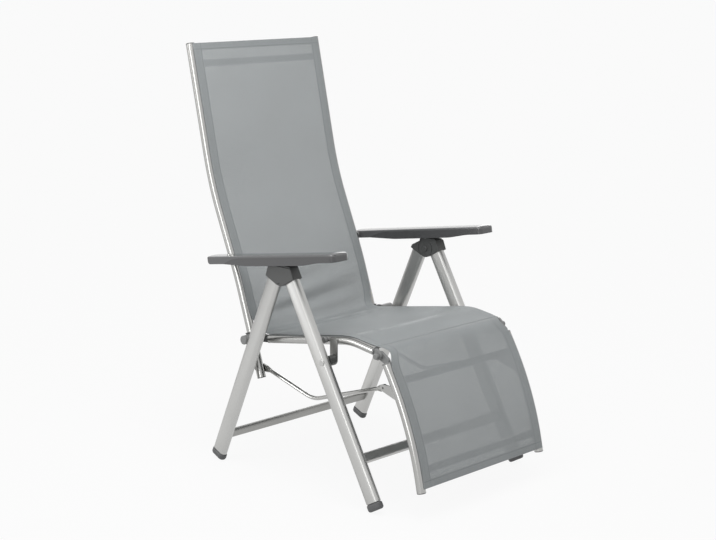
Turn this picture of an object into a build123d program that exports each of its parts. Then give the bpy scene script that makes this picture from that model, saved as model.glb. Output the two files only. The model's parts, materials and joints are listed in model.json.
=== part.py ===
"""Reclining garden armchair: folding A-frame legs, a linked back and leg rest, and a sling of mesh cloth.

Millimetres. +Z is up, the chair faces -Y and X runs across it, with the sitter's left at +X.
A side view point is (y, z): y from the line of the hub pivots, z from the floor.
The left half is modelled, and the right half is its mirror image in the plane x = 0.
"""
import os
from math import asin, atan, atan2, cos, degrees, hypot, radians, sin, sqrt, tan

from build123d import *

os.makedirs("parts", exist_ok=True)

# Distances of the frames from the middle plane
leg_x = 280.0
frame_x = 234.5
arm_inner_x = 252.0

# Hub of each side, with the pin that the armrest rack lies on
hub_z = 566.0
hub_bolt_radius = 4.0
lock_pin_rise = 33.0
lock_pin_radius = 4.0
lock_pin_gap = 0.4
lug_wall = 3.5

# Legs: flat-sided oval tube
leg_depth = 47.0
leg_thickness = 22.0
leg_wall = 2.0
leg_gap = 1.25
front_foot_y = -347.0
rear_foot_y = 285.0

# Plastic foot caps
foot_wall = 1.5
foot_length = 21.0
foot_round = 7.0
foot_flat = 1.0
foot_plug = 24.0

# Crossbars of the two leg frames, by their distance down the leg from the hub
bar_depth = 28.0
bar_thickness = 16.0
bar_wall = 1.6
front_bar_drop = 519.0
rear_bar_drop = 550.0

# Leg heads, which are the two halves of the hub
head_skin = 3.0
head_margin = 0.75
head_plug = 34.0
head_rise = 31.0
head_round = 6.0
head_skirt = 9.3
disc_radius = 25.0
disc_gap = 1.5
layer_gap = 0.6
plate_gap = 0.4
plate_thickness = 2.8
plate_width = 86.0
plate_rise = 28.0
plate_drop = 25.0
plate_notch = 15.0
plate_round = 5.0
plate_inset = 1.0
plate_chamfer = 0.8
bolt_head_radius = 8.5
bolt_head_height = 3.0

# Round tube of back, seat and leg rest
tube_radius = 12.0
tube_wall = 1.5
crossbar_radius = 10.0
crossbar_wall = 1.3

# Back tube in side view, from the top to the lower end of its lever
back_top_y = 425.0
back_top_z = 1150.0
back_neck_y = 341.0
back_neck_z = 770.0
back_waist_y = 235.0
back_waist_z = 520.0
lever_end_y = 145.5
lever_end_z = 254.5
back_bend = 880.0
back_bar_drop = 54.0

# Seat rail in side view, from the back to the knee
rail_rear_y = 106.0
rail_rear_z = 370.0
rail_crest_y = -205.0
rail_crest_z = 421.5
rail_front_y = -290.0
rail_front_z = 409.5
rail_bend = 200.0

# Leg rest tube in side view, from the knee down: a straight head, one bend and a straight tail
rest_top_y = -333.0
rest_top_z = 381.0
rest_slope = 59.97
rest_head = 44.3
rest_bend = 830.0
rest_turn = 18.29
rest_tail = 23.7
upper_bar_drop = 43.0
lower_bar_rise = 51.0

# Pivots in side view
seat_pivot_y = -155.0
seat_pivot_z = 363.0
back_pivot_y = 158.0
back_pivot_z = 366.0
knee_y = -307.0
knee_z = 400.0
lever_pivot_drop = 86.0
arm_pivot_rise = 11.0
pivot_bolt_radius = 4.0
small_bolt_radius = 3.0
running_gap = 0.06
face_gap = 0.3

# Link rod between the back's lever and the leg rest
rod_radius = 5.5
rod_low_y = -43.0
rod_low_z = 227.0
rod_bend = 90.0
eye_radius = 9.0
eye_thickness = 5.0
eye_neck = 14.0
eye_taper = 16.0
open_pivot_gap = 0.35
thin_head_radius = 6.0
thin_head_height = 2.2

# Seat pivot under each rail
bracket_width = 26.0
bracket_thickness = 3.0
bush_radius = 13.5
spacer_y = -122.0
spacer_z = 410.0
spacer_radius = 8.0
spacer_height = 8.5
spacer_round = 2.0
spacer_shank = 2.5

# Back pivot
lug_thickness = 12.0
lug_radius = 11.0
neck_radius = 9.0
cheek_thickness = 4.0
cheek_radius = 14.0
sleeve_wall = 3.2
sleeve_length = 36.0
sleeve_rim = 1.2
rim_length = 3.0
collar_length = 4.0
plug_length = 30.0
knob_length = 44.0
knob_round = 2.5
knob_floor = 5.0

# Knee
ear_radius = 11.0
ear_neck_radius = 9.5
ear_thickness = 8.0
ear_gap = 0.6
knee_knob_radius = 8.0
knee_knob_length = 9.5
rod_lug_thickness = 4.2
rod_lug_foot = 38.0

# End caps of the round tubes
cap_thickness = 2.4
cap_round = 1.6
cap_plug = 16.0

# Armrest, along and across its own slope
arm_slope = 8.49
arm_width = 60.5
arm_front = 481.0
arm_rear = 14.0
arm_half_height = 11.5
arm_crown = 2.6
arm_edge = 4.0
arm_corner = 13.0
arm_rear_round = 9.0
arm_wall = 2.6
seam_height = 4.0
seam_start = 50.0
seam_level = 125.0
sag_depth = 6.5
sag_from = 150.0
sag_to = 365.0
sag_end = 430.0
sag_bend = 260.0
channel_from = 202.0
channel_to = 455.0
channel_margin = 2.6
channel_depth = 10.5
rack_width = 11.0
rack_margin = 14.0
rack_gap = 1.2
notch_count = 7
notch_depth = 4.2
notch_edge = 1.2
arm_bush_radius = 7.0
arm_bush_grip = 22.0
boss_wall = 2.4
overrun = 20.0

# Sling cloth
cloth = 1.5
cloth_gap = 0.3
sling_overhang = 1.5
back_sling_rise = 48.0
seat_sling_overrun = 7.0
rest_sling_rise = 9.0

# Turn of the back in the recline, in degrees
recline_angle = 50.0

# Shares
dome_share = 0.6

# Sizes that follow from those above
leg_offset = leg_depth / 2 + leg_gap
leg_inner_x = leg_x - leg_thickness / 2
leg_outer_x = leg_x + leg_thickness / 2
tube_inner_x = frame_x - tube_radius
tube_outer_x = frame_x + tube_radius
tube_bore = tube_radius - tube_wall
bolt_bore = pivot_bolt_radius + running_gap
small_bore = small_bolt_radius + running_gap
head_inner_x = leg_inner_x - head_skin
head_outer_x = leg_outer_x + head_skin
layer_x = (head_inner_x + head_outer_x) / 2
plate_x = head_outer_x + plate_gap
hub = (0.0, hub_z)
lock_pin = (0.0, hub_z + lock_pin_rise)
seat_pivot = (seat_pivot_y, seat_pivot_z)
back_pivot = (back_pivot_y, back_pivot_z)
knee = (knee_y, knee_z)
back_line = [
    (back_top_y, back_top_z),
    (back_neck_y, back_neck_z),
    (back_waist_y, back_waist_z),
    (lever_end_y, lever_end_z),
]
rail_line = [
    (rail_rear_y, rail_rear_z),
    (rail_crest_y, rail_crest_z),
    (rail_front_y, rail_front_z),
]
rest_reach = rest_bend * tan(radians(rest_turn) / 2)
rest_steep = radians(rest_slope + rest_turn)
rest_top = (rest_top_y, rest_top_z)


def direction(start, end):
    """Unit vector from one side view point to another."""
    length = hypot(end[0] - start[0], end[1] - start[1])
    return (end[0] - start[0]) / length, (end[1] - start[1]) / length


def shifted(point, way, distance):
    """Side view point moved along a unit vector."""
    return point[0] + way[0] * distance, point[1] + way[1] * distance


def turned(point, center, angle):
    """Side view point turned about a centre, in degrees from Y towards Z."""
    turn = radians(angle)
    dy, dz = point[0] - center[0], point[1] - center[1]
    return center[0] + dy * cos(turn) - dz * sin(turn), center[1] + dy * sin(turn) + dz * cos(turn)


def at_height(line, z):
    """Side view point at height z on a falling line, whose first and last runs may be drawn out."""
    start, end = line[0], line[1]
    for corner, after in zip(line[1:], line[2:]):
        if corner[1] > z:
            start, end = corner, after
    down_share = (start[1] - z) / (start[1] - end[1])
    return start[0] + down_share * (end[0] - start[0]), z


def beside(line, distance):
    """A line moved to the right of its own direction, as seen from +X with Y to the right."""
    moved = []
    ways = [direction(start, end) for start, end in zip(line, line[1:])]
    for point, before, after in zip(line, [ways[0], *ways], [*ways, ways[-1]]):
        spread = 1 + before[0] * after[0] + before[1] * after[1]
        normal = ((before[1] + after[1]) / spread, -(before[0] + after[0]) / spread)
        moved.append(shifted(point, normal, distance))
    return moved


rest_middle = shifted(rest_top, (-cos(radians(rest_slope)), -sin(radians(rest_slope))), rest_head + rest_reach)
rest_end = shifted(rest_middle, (-cos(rest_steep), -sin(rest_steep)), rest_reach + rest_tail)
rest_line = [rest_top, rest_middle, rest_end]
upper_bar_z = rest_top_z - upper_bar_drop
lower_bar_z = rest_end[1] + lower_bar_rise

# The hub line stands behind the middle of the chair's length by hub_setback
back_up = direction(back_line[1], back_line[0])
rest_down = direction(rest_line[1], rest_line[2])
cap_side = cap_thickness - cap_round
cap_flat = tube_radius - cap_round
rear_reach = back_top_y + back_up[0] * cap_side + back_up[1] * cap_flat + cap_round
front_reach = rest_end[0] + rest_down[0] * cap_side + rest_down[1] * cap_flat - cap_round
hub_setback = -(rear_reach + front_reach) / 2

arm_pivot = at_height(back_line, hub_z + arm_pivot_rise)
lever_pivot = at_height(back_line, back_pivot_z - lever_pivot_drop)
rod_pivot = (knee_y + lever_pivot[0] - back_pivot_y, knee_z + lever_pivot[1] - back_pivot_z)


def side_plane(x):
    """Side view at distance x: its own x is Y, its own y is Z, and its normal is +X."""
    return Plane(origin=(x, hub_setback, 0), x_dir=(0, 1, 0), z_dir=(1, 0, 0))


def cross_plane(x, point, way):
    """Plane square to a direction in the side view, with its own x along X."""
    return Plane(origin=(x, hub_setback + point[0], point[1]), x_dir=(1, 0, 0), z_dir=(0, *way))


def save(part, name):
    """Label one piece and write it to its own file."""
    part.label = name
    export_step(part, f"parts/{name}.step")


def save_pair(part, name):
    """Write a left piece, and its mirror image as the right one."""
    with BuildPart() as right:
        mirror(part, about=Plane.YZ)
    save(part, f"{name}_left")
    save(right.part, f"{name}_right")


def save_group(part, name):
    """Write a left piece and its mirror image together."""
    with BuildPart() as both:
        add(part)
        mirror(about=Plane.YZ)
    save(both.part, name)


class Leg:
    """Side view directions and places of the front legs (way -1) or the rear legs (way 1)."""

    def __init__(self, foot_y):
        self.way = -1 if foot_y < 0 else 1
        reach = hypot(foot_y, hub_z)
        self.lean = atan(abs(foot_y) / hub_z) - asin(leg_offset / reach)
        self.down = (self.way * sin(self.lean), -cos(self.lean))
        self.out = (self.way * cos(self.lean), sin(self.lean))

    def point(self, drop, out=0.0):
        """Place a drop below the hub along the leg, and out from its centre line."""
        return shifted(shifted(hub, self.down, drop), self.out, leg_offset + out)

    def section(self, drop):
        """Plane square to the leg: its own x points out, and its normal points down the leg."""
        y, z = self.point(drop)
        return Plane(origin=(leg_x, hub_setback + y, z), x_dir=(0, *self.out), z_dir=(0, *self.down))

    def foot_end(self):
        """Drop of the cap's end, with its rounded edge sunk by foot_flat for the flat it stands on."""
        edge_out = leg_offset - leg_depth / 2 - foot_wall + foot_round
        rise = hub_z + sin(self.lean) * edge_out - foot_round + foot_flat
        return foot_round + rise / cos(self.lean)


front = Leg(front_foot_y)
rear = Leg(rear_foot_y)


# Turn of the armrest while the back reclines, with the rack kept level with the pin
arm_way = (-cos(radians(arm_slope)), sin(radians(arm_slope)))
arm_up = (sin(radians(arm_slope)), cos(radians(arm_slope)))


def arm_place(point):
    """Places along and across the armrest of a side view point."""
    dy, dz = point[0] - arm_pivot[0], point[1] - arm_pivot[1]
    return dy * arm_way[0] + dz * arm_way[1], dy * arm_up[0] + dz * arm_up[1]


pin_along, pin_up = arm_place(lock_pin)
reclined_arm_pivot = turned(arm_pivot, back_pivot, -recline_angle)
reclined_reach = hypot(lock_pin[0] - reclined_arm_pivot[0], lock_pin[1] - reclined_arm_pivot[1])
pin_travel = sqrt(reclined_reach**2 - pin_up**2) - pin_along
reclined_rise = lock_pin[1] - reclined_arm_pivot[1]
reclined_run = reclined_arm_pivot[0] - lock_pin[0]
reclined_slope = atan2(reclined_rise, reclined_run) - asin(pin_up / reclined_reach)
rack_tip = pin_up + lock_pin_radius + lock_pin_gap

channel_inner_x = head_inner_x - channel_margin
channel_outer_x = plate_x + plate_thickness + channel_margin


def drum(center, x_from, x_to, radius, bore=0.0):
    """A plain round piece about an axis across the chair."""
    with BuildPart() as piece:
        with BuildSketch(side_plane(x_from)):
            with Locations(center):
                Circle(radius)
                if bore:
                    Circle(bore, mode=Mode.SUBTRACT)
        extrude(amount=x_to - x_from)
    return piece.part


def domed_bolt(center, x_head, x_end, radius, head_radius, head_height):
    """A bolt across the chair: its head sits at x_head and its plain end is at x_end."""
    way = 1 if x_end > x_head else -1
    with BuildPart() as bolt:
        with BuildSketch(side_plane(x_head)):
            with Locations(center):
                Circle(head_radius)
        extrude(amount=-way * head_height)
        rim = bolt.faces().sort_by(Axis.X)[0 if way > 0 else -1].edges()
        fillet(rim, head_height * dome_share)
        with BuildSketch(side_plane(x_head)):
            with Locations(center):
                Circle(radius)
        extrude(amount=x_end - x_head)
    return bolt.part


# Legs and their foot caps
def leg_tube(leg):
    """Oval tube from the hub down to the foot cap."""
    with BuildPart() as tube:
        with BuildSketch(leg.section(leg_top_drop)):
            SlotOverall(leg_depth, leg_thickness)
            SlotOverall(leg_depth - 2 * leg_wall, leg_thickness - 2 * leg_wall, mode=Mode.SUBTRACT)
        extrude(amount=leg.foot_end() - foot_length - leg_top_drop)
        if leg.way < 0:
            with BuildSketch(side_plane(leg_inner_x)):
                with Locations(seat_pivot):
                    Circle(pivot_bolt_radius)
            extrude(amount=leg_thickness, mode=Mode.SUBTRACT)
    return tube.part


def plug_section(leg, drop):
    """Outline of what fits inside a leg, on the leg's section."""
    play = leg_wall + running_gap
    with BuildSketch(leg.section(drop)) as outline:
        SlotOverall(leg_depth - 2 * play, leg_thickness - 2 * play)
    return outline.sketch


def foot_cap(leg):
    """Rounded cap with a plug, worn flat where it stands on the floor."""
    start = leg.foot_end() - foot_length
    plug = plug_section(leg, start)
    with BuildPart() as cap:
        with BuildSketch(leg.section(start)):
            SlotOverall(leg_depth + 2 * foot_wall, leg_thickness + 2 * foot_wall)
        extrude(amount=foot_length)
        fillet(cap.faces().sort_by(Axis.Z)[0].edges(), foot_round)
        extrude(plug, amount=-foot_plug)
        with BuildSketch(Plane.XY):
            with Locations((leg_x, hub_setback + leg.point(start)[0])):
                Rectangle(2 * leg_depth, 2 * leg_depth)
        extrude(amount=-foot_length, mode=Mode.SUBTRACT)
    return cap.part


def leg_crossbar(leg, drop):
    """Oval tube from leg to leg."""
    tilt = degrees(atan2(leg.down[1], leg.down[0]))
    with BuildPart() as bar:
        with BuildSketch(side_plane(0)):
            with Locations(Location((*leg.point(drop), 0), tilt)):
                SlotOverall(bar_depth, bar_thickness)
                SlotOverall(bar_depth - 2 * bar_wall, bar_thickness - 2 * bar_wall, mode=Mode.SUBTRACT)
        extrude(amount=leg_inner_x, both=True)
    return bar.part


# Hub
head_half = leg_depth / 2 + head_margin
head_peak_z = hub_z + head_rise


def shoulder_drop(leg):
    """How far below the hub a leg head's outer side meets its top, which slopes as the sinking armrest does."""
    fall = tan(reclined_slope) if leg.way > 0 else 0.0
    start = leg.point(0, head_half)
    steep = -leg.down[1] - fall * leg.way * leg.down[0]
    return (start[1] + fall * leg.way * start[0] - head_peak_z) / steep


# Leg tubes end at the foot of the leg heads
leg_top_drop = shoulder_drop(rear) + head_skirt


def head_outline(leg):
    """Corners of a leg head in side view, as wide as the leg."""
    foot_inner = leg.point(leg_top_drop, -head_half)
    foot_outer = leg.point(leg_top_drop, head_half)
    shoulder = leg.point(shoulder_drop(leg), head_half)
    return [foot_inner, foot_outer, shoulder, (0.0, head_peak_z)]


def head_face(leg, x):
    """The whole side view of a leg head at distance x, with a rounded shoulder."""
    corners = head_outline(leg)
    with BuildSketch(side_plane(x)) as face:
        with BuildLine():
            Polyline(*corners, close=True)
        make_face()
        shoulder = face.vertices().sort_by_distance(Vector(*corners[2], 0))[0]
        fillet(shoulder, head_round)
    return face.sketch


def post_face(x, margin):
    """Side view of the disc and the post that carries the lock pin, with a margin all round."""
    with BuildSketch(side_plane(x)) as face:
        with Locations(hub):
            Circle(disc_radius + margin)
        with Locations(lock_pin):
            Circle(lock_pin_radius + lug_wall + margin)
        make_hull()
    return face.sketch


def front_leg_head():
    """Inner half of the hub: full width outside the disc, one layer within, and the post of the lock pin."""
    body = head_face(front, head_inner_x)
    post = post_face(head_inner_x, 0.0)
    plug = plug_section(front, leg_top_drop)
    layer_width = layer_x - layer_gap / 2 - head_inner_x
    with BuildPart() as head:
        extrude(body, amount=plate_x - head_inner_x)
        with BuildSketch(side_plane(head_inner_x)):
            with Locations(hub):
                Circle(disc_radius + disc_gap)
        extrude(amount=plate_x - head_inner_x, mode=Mode.SUBTRACT)
        extrude(post, amount=layer_width)
        extrude(plug, amount=head_plug)
        with BuildSketch(side_plane(head_inner_x)):
            with Locations(hub):
                Circle(hub_bolt_radius + running_gap)
            with Locations(lock_pin):
                Circle(lock_pin_radius)
        extrude(amount=plate_x - head_inner_x, mode=Mode.SUBTRACT)
    return head.part


def rear_leg_head():
    """Outer half of the hub, clear of the front leg's post in the inner layer and of its pin in the outer one."""
    layer_from = layer_x + layer_gap / 2
    body = head_face(rear, head_inner_x)
    post = post_face(head_inner_x, disc_gap)
    plug = plug_section(rear, leg_top_drop)
    with BuildPart() as head:
        extrude(body, amount=head_outer_x - head_inner_x)
        extrude(post, amount=layer_from - head_inner_x, mode=Mode.SUBTRACT)
        with BuildSketch(side_plane(layer_from)):
            with Locations(hub):
                Circle(disc_radius)
        extrude(amount=head_outer_x - layer_from)
        extrude(plug, amount=head_plug)
        with BuildSketch(side_plane(head_inner_x)):
            with Locations(hub):
                Circle(hub_bolt_radius + running_gap)
            with Locations(lock_pin):
                Circle(lock_pin_radius + disc_gap)
        extrude(amount=head_outer_x - head_inner_x, mode=Mode.SUBTRACT)
    return head.part


def hub_plate():
    """Cover plate over both heads, open to the legs below in a V."""
    half = leg_depth / 2 - plate_inset
    top_z = hub_z + plate_rise
    outline = [
        (-plate_width / 2, top_z),
        (plate_width / 2, top_z),
        rear.point(plate_drop, half),
        rear.point(plate_drop, -half),
        (0.0, hub_z - plate_notch),
        front.point(plate_drop, -half),
        front.point(plate_drop, half),
    ]
    with BuildPart() as plate:
        with BuildSketch(side_plane(plate_x)) as face:
            with BuildLine():
                Polyline(*outline, close=True)
            make_face()
            fillet(face.vertices().group_by(Axis.Y)[-1], plate_round)
        extrude(amount=plate_thickness)
        chamfer(plate.faces().sort_by(Axis.X)[-1].outer_wire().edges(), plate_chamfer)
    return plate.part


save_pair(leg_tube(front), "front_leg")
save_pair(leg_tube(rear), "rear_leg")
save(leg_crossbar(front, front_bar_drop), "front_leg_crossbar")
save(leg_crossbar(rear, rear_bar_drop), "rear_leg_crossbar")
save_group(foot_cap(front), "front_feet")
save_group(foot_cap(rear), "rear_feet")
save_pair(front_leg_head(), "front_leg_head")
save_pair(rear_leg_head(), "rear_leg_head")
save_pair(hub_plate(), "hub_plate")

hub_bolt = domed_bolt(hub, head_inner_x, head_outer_x, hub_bolt_radius, bolt_head_radius, bolt_head_height)
save_group(hub_bolt, "hub_bolts")
save_group(drum(lock_pin, head_inner_x, head_outer_x, lock_pin_radius), "lock_pins")


# Round tubes
def bent_tube(line, bend, wall=tube_wall):
    """Round tube along a side view line with equal bends. A wall of the whole radius gives a solid bar."""
    with BuildLine(side_plane(frame_x)) as path:
        FilletPolyline(*line, radius=bend)
    with BuildPart() as tube:
        with BuildSketch(Plane(origin=path.line @ 0, z_dir=path.line % 0)):
            Circle(tube_radius)
            if wall < tube_radius:
                Circle(tube_radius - wall, mode=Mode.SUBTRACT)
        sweep(path=path.line)
    return tube.part


def bored(part, *bores):
    """A piece with round holes across the chair: each bore is a side view point and a radius."""
    with BuildPart() as piece:
        add(part)
        for center, radius in bores:
            with BuildSketch(side_plane(tube_inner_x)):
                with Locations(center):
                    Circle(radius)
            extrude(amount=2 * tube_radius, mode=Mode.SUBTRACT)
    return piece.part


def tube_crossbar(center, tube):
    """Round tube across the chair, with its ends cut to the side tube that it meets."""
    with BuildPart() as bar:
        with BuildSketch(side_plane(0)):
            with Locations(center):
                Circle(crossbar_radius)
                Circle(crossbar_radius - crossbar_wall, mode=Mode.SUBTRACT)
        extrude(amount=frame_x)
        add(tube, mode=Mode.SUBTRACT)
        mirror(about=Plane.YZ)
    return bar.part


def end_cap(end, way):
    """Plastic cap on a round tube's end that points along way."""
    with BuildPart() as cap:
        with BuildSketch(cross_plane(frame_x, end, way)):
            Circle(tube_radius)
        extrude(amount=cap_thickness)
        outer = cap.faces().sort_by_distance(outside_point(end, way))[0]
        fillet(outer.edges(), cap_round)
        with BuildSketch(cross_plane(frame_x, end, way)):
            Circle(tube_bore - running_gap)
        extrude(amount=-cap_plug)
    return cap.part


def outside_point(end, way):
    """A point beyond a tube's end."""
    y, z = shifted(end, way, plug_length)
    return Vector(frame_x, hub_setback + y, z)


def cloth_sheet(line, bend):
    """Cloth stretched over the front of the side tubes, from just beyond one to just beyond the other."""
    inner = tube_radius + cloth_gap
    with BuildPart() as sheet:
        with BuildSketch(side_plane(0)):
            with BuildLine():
                near = FilletPolyline(*beside(line, inner), radius=bend)
                far = FilletPolyline(*beside(line, inner + cloth), radius=bend)
                Line(near @ 0, far @ 0)
                Line(near @ 1, far @ 1)
            make_face()
        extrude(amount=frame_x + sling_overhang, both=True)
    return sheet.part


# Seat frame
def tube_lug(end, way, pivot, x_from, x_to, radius, neck):
    """Plastic plug in a tube's end, with a collar and a flat lug that reaches to a pivot."""
    with BuildPart() as fitting:
        with BuildSketch(cross_plane(frame_x, end, way)):
            Circle(tube_bore - running_gap)
        extrude(amount=-plug_length)
        with BuildSketch(cross_plane(frame_x, end, way)):
            Circle(tube_radius)
        extrude(amount=collar_length)
        with BuildSketch(side_plane(x_from)):
            with Locations(pivot):
                Circle(radius)
            with Locations(shifted(end, way, neck)):
                Circle(neck)
            make_hull()
            with Locations(pivot):
                Circle(bolt_bore, mode=Mode.SUBTRACT)
        extrude(amount=x_to - x_from)
    return fitting.part


rail_tube = bent_tube(rail_line, rail_bend)
spacer = (spacer_y, spacer_z)
save_pair(bored(rail_tube, (spacer, small_bolt_radius)), "seat_rail")

rail_back = direction(rail_line[1], rail_line[0])
rail_fitting = tube_lug(
    rail_line[0],
    rail_back,
    back_pivot,
    frame_x - lug_thickness / 2,
    frame_x + lug_thickness / 2,
    lug_radius,
    neck_radius,
)
save_pair(rail_fitting, "rail_end_fitting")

rail_ahead = direction(rail_line[1], rail_line[2])
knee_socket = tube_lug(
    rail_line[2],
    rail_ahead,
    knee,
    frame_x + ear_gap / 2,
    frame_x + ear_gap / 2 + ear_thickness,
    ear_radius,
    ear_neck_radius,
)
save_pair(knee_socket, "knee_socket")

# Steel plate that hangs each rail on its seat pivot
run_share = (seat_pivot_y - rail_rear_y) / (rail_crest_y - rail_rear_y)
rail_over_pivot = (seat_pivot_y, rail_rear_z + run_share * (rail_crest_z - rail_rear_z))
bracket_x = tube_outer_x + face_gap
with BuildPart() as seat_bracket:
    with BuildSketch(side_plane(bracket_x)):
        with Locations(seat_pivot):
            Circle(bracket_width / 2)
        with Locations(rail_over_pivot):
            Rectangle(bracket_width, tube_radius)
        make_hull()
        with Locations(seat_pivot):
            Circle(bolt_bore, mode=Mode.SUBTRACT)
    extrude(amount=bracket_thickness)
save_pair(seat_bracket.part, "seat_bracket")

bush_from = bracket_x + bracket_thickness + running_gap
seat_bush = drum(seat_pivot, bush_from, leg_inner_x - running_gap, bush_radius, bolt_bore)
save_group(seat_bush, "seat_pivot_bushes")
seat_bolt = domed_bolt(
    seat_pivot, leg_outer_x, tube_outer_x + running_gap, pivot_bolt_radius, bolt_head_radius, bolt_head_height
)
save_group(seat_bolt, "seat_pivot_bolts")

with BuildPart() as rail_spacer:
    with BuildSketch(side_plane(tube_outer_x)):
        with Locations(spacer):
            Circle(spacer_radius)
    extrude(amount=spacer_height)
    fillet(rail_spacer.faces().sort_by(Axis.X)[-1].edges(), spacer_round)
    with BuildSketch(side_plane(tube_outer_x)):
        with Locations(spacer):
            Circle(small_bolt_radius)
    extrude(amount=-spacer_shank)
save_group(rail_spacer.part, "rail_spacers")

seat_rear = shifted(rail_line[0], rail_back, seat_sling_overrun)
seat_front = shifted(rail_line[2], rail_ahead, seat_sling_overrun)
save(cloth_sheet([seat_rear, rail_line[1], seat_front], rail_bend), "seat_sling")

# Back pivot: bolts and stop knobs
pivot_out = (back_pivot[0] - hub[0]) * rear.out[0] + (back_pivot[1] - hub[1]) * rear.out[1] - leg_offset
knob_radius = pivot_out - leg_depth / 2 - face_gap
bracket_inner_x = frame_x - lug_thickness / 2 - face_gap - cheek_thickness
bracket_outer_x = frame_x + lug_thickness / 2 + face_gap + cheek_thickness
knob_from = bracket_outer_x + face_gap
knob_to = knob_from + knob_length
back_bolt = domed_bolt(
    back_pivot,
    bracket_inner_x,
    knob_to - knob_floor,
    pivot_bolt_radius,
    thin_head_radius,
    thin_head_height,
)
save_group(back_bolt, "back_pivot_bolts")

with BuildPart() as stop_knob:
    with BuildSketch(side_plane(knob_from)):
        with Locations(back_pivot):
            Circle(knob_radius)
    extrude(amount=knob_length)
    fillet(stop_knob.edges().filter_by(GeomType.CIRCLE), knob_round)
    with BuildSketch(side_plane(knob_from)):
        with Locations(back_pivot):
            Circle(pivot_bolt_radius)
    extrude(amount=knob_length - knob_floor, mode=Mode.SUBTRACT)
save_group(stop_knob.part, "stop_knobs")

# Back frame
back_tube = bent_tube(back_line, back_bend)
back_bar = bent_tube(back_line, back_bend, wall=tube_radius)
save_pair(bored(back_tube, (arm_pivot, bolt_bore), (lever_pivot, small_bore)), "back_tube")
save(tube_crossbar(at_height(back_line, back_top_z - back_bar_drop), back_bar), "back_crossbar")

lever_down = direction(back_line[2], back_line[3])
with BuildPart() as back_caps:
    add(end_cap(back_line[0], back_up))
    add(end_cap(back_line[3], lever_down))
save_group(back_caps.part, "back_caps")


def back_bracket():
    """Sleeve round the back tube with two cheeks that hold the rail's lug between them."""
    side = (-lever_down[1], lever_down[0])
    reach = (back_pivot[0] - back_line[3][0]) * side[0] + (back_pivot[1] - back_line[3][1]) * side[1]
    foot = shifted(back_pivot, side, -reach)
    top = shifted(foot, lever_down, -sleeve_length / 2)
    slot_from = frame_x - lug_thickness / 2 - face_gap
    slot_to = frame_x + lug_thickness / 2 + face_gap
    reclined_rail_end = turned(rail_line[0], back_pivot, recline_angle)
    with BuildPart() as bracket:
        with BuildSketch(cross_plane(frame_x, top, lever_down)):
            Circle(tube_radius + sleeve_wall)
        extrude(amount=sleeve_length)
        with BuildSketch(cross_plane(frame_x, top, lever_down)):
            Circle(tube_radius + sleeve_wall + sleeve_rim)
        extrude(amount=rim_length)
        with BuildSketch(side_plane(bracket_inner_x)):
            with Locations(back_pivot, foot):
                Circle(cheek_radius)
            make_hull()
        extrude(amount=bracket_outer_x - bracket_inner_x)
        with BuildSketch(side_plane(slot_from)):
            with Locations(back_pivot, shifted(back_pivot, lever_down, -sleeve_length)):
                Circle(cheek_radius + face_gap)
            make_hull()
        extrude(amount=slot_to - slot_from, mode=Mode.SUBTRACT)
        with BuildSketch(side_plane(slot_from)):
            with Locations(back_pivot, reclined_rail_end):
                Circle(cheek_radius + face_gap)
            make_hull()
        extrude(amount=slot_to - slot_from, mode=Mode.SUBTRACT)
        with BuildSketch(cross_plane(frame_x, top, lever_down)):
            Circle(tube_radius + running_gap)
        extrude(amount=2 * sleeve_length, both=True, mode=Mode.SUBTRACT)
        with BuildSketch(side_plane(bracket_inner_x)):
            with Locations(back_pivot):
                Circle(bolt_bore)
        extrude(amount=bracket_outer_x - bracket_inner_x, mode=Mode.SUBTRACT)
    return bracket.part


save_pair(back_bracket(), "back_bracket")
back_sling_foot = at_height(back_line, back_pivot_z + back_sling_rise)
save(cloth_sheet([*back_line[:3], back_sling_foot], back_bend), "back_sling")

# Leg rest
rest_tube = bent_tube(rest_line, rest_bend)
rest_bar = bent_tube(rest_line, rest_bend, wall=tube_radius)
save_pair(rest_tube, "legrest_tube")
save(tube_crossbar(at_height(rest_line, upper_bar_z), rest_bar), "legrest_upper_crossbar")
save(tube_crossbar(at_height(rest_line, lower_bar_z), rest_bar), "legrest_lower_crossbar")
save_group(end_cap(rest_line[2], rest_down), "legrest_caps")

rest_up = direction(rest_line[1], rest_line[0])
knee_plug = tube_lug(
    rest_line[0],
    rest_up,
    knee,
    frame_x - ear_gap / 2 - ear_thickness,
    frame_x - ear_gap / 2,
    ear_radius,
    ear_neck_radius,
)
save_pair(knee_plug, "knee_plug")

knob_inner_x = frame_x + ear_gap / 2 + ear_thickness + face_gap
ear_inner_x = frame_x - ear_gap / 2 - ear_thickness
knee_pin = domed_bolt(knee, ear_inner_x, knob_inner_x, pivot_bolt_radius, thin_head_radius, thin_head_height)
with BuildPart() as knee_bolt:
    add(knee_pin)
    with BuildSketch(side_plane(knob_inner_x)):
        with Locations(knee):
            Circle(knee_knob_radius)
    extrude(amount=knee_knob_length)
    fillet(knee_bolt.faces().sort_by(Axis.X)[-1].edges(), knob_round)
save_group(knee_bolt.part, "knee_bolts")

# Plate from each leg rest tube back to the front pivot of its link rod
lug_from = tube_inner_x + running_gap
rest_way = direction(rest_line[0], rest_line[1])
rest_behind = (-rest_way[1], rest_way[0])
lug_top_z = upper_bar_z - crossbar_radius - rod_lug_thickness - face_gap
lug_top = shifted(at_height(rest_line, lug_top_z), rest_behind, tube_radius / 2)
lug_bottom = shifted(lug_top, rest_way, rod_lug_foot)
with BuildPart() as rod_lug:
    with BuildSketch(side_plane(lug_from)):
        with Locations(rod_pivot):
            Circle(eye_radius)
        with Locations(lug_top, lug_bottom):
            Circle(rod_lug_thickness)
        make_hull()
        with Locations(rod_pivot):
            Circle(small_bolt_radius, mode=Mode.SUBTRACT)
    extrude(amount=rod_lug_thickness)
    add(rest_bar, mode=Mode.SUBTRACT)
save_pair(rod_lug.part, "rod_lug")

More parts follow.
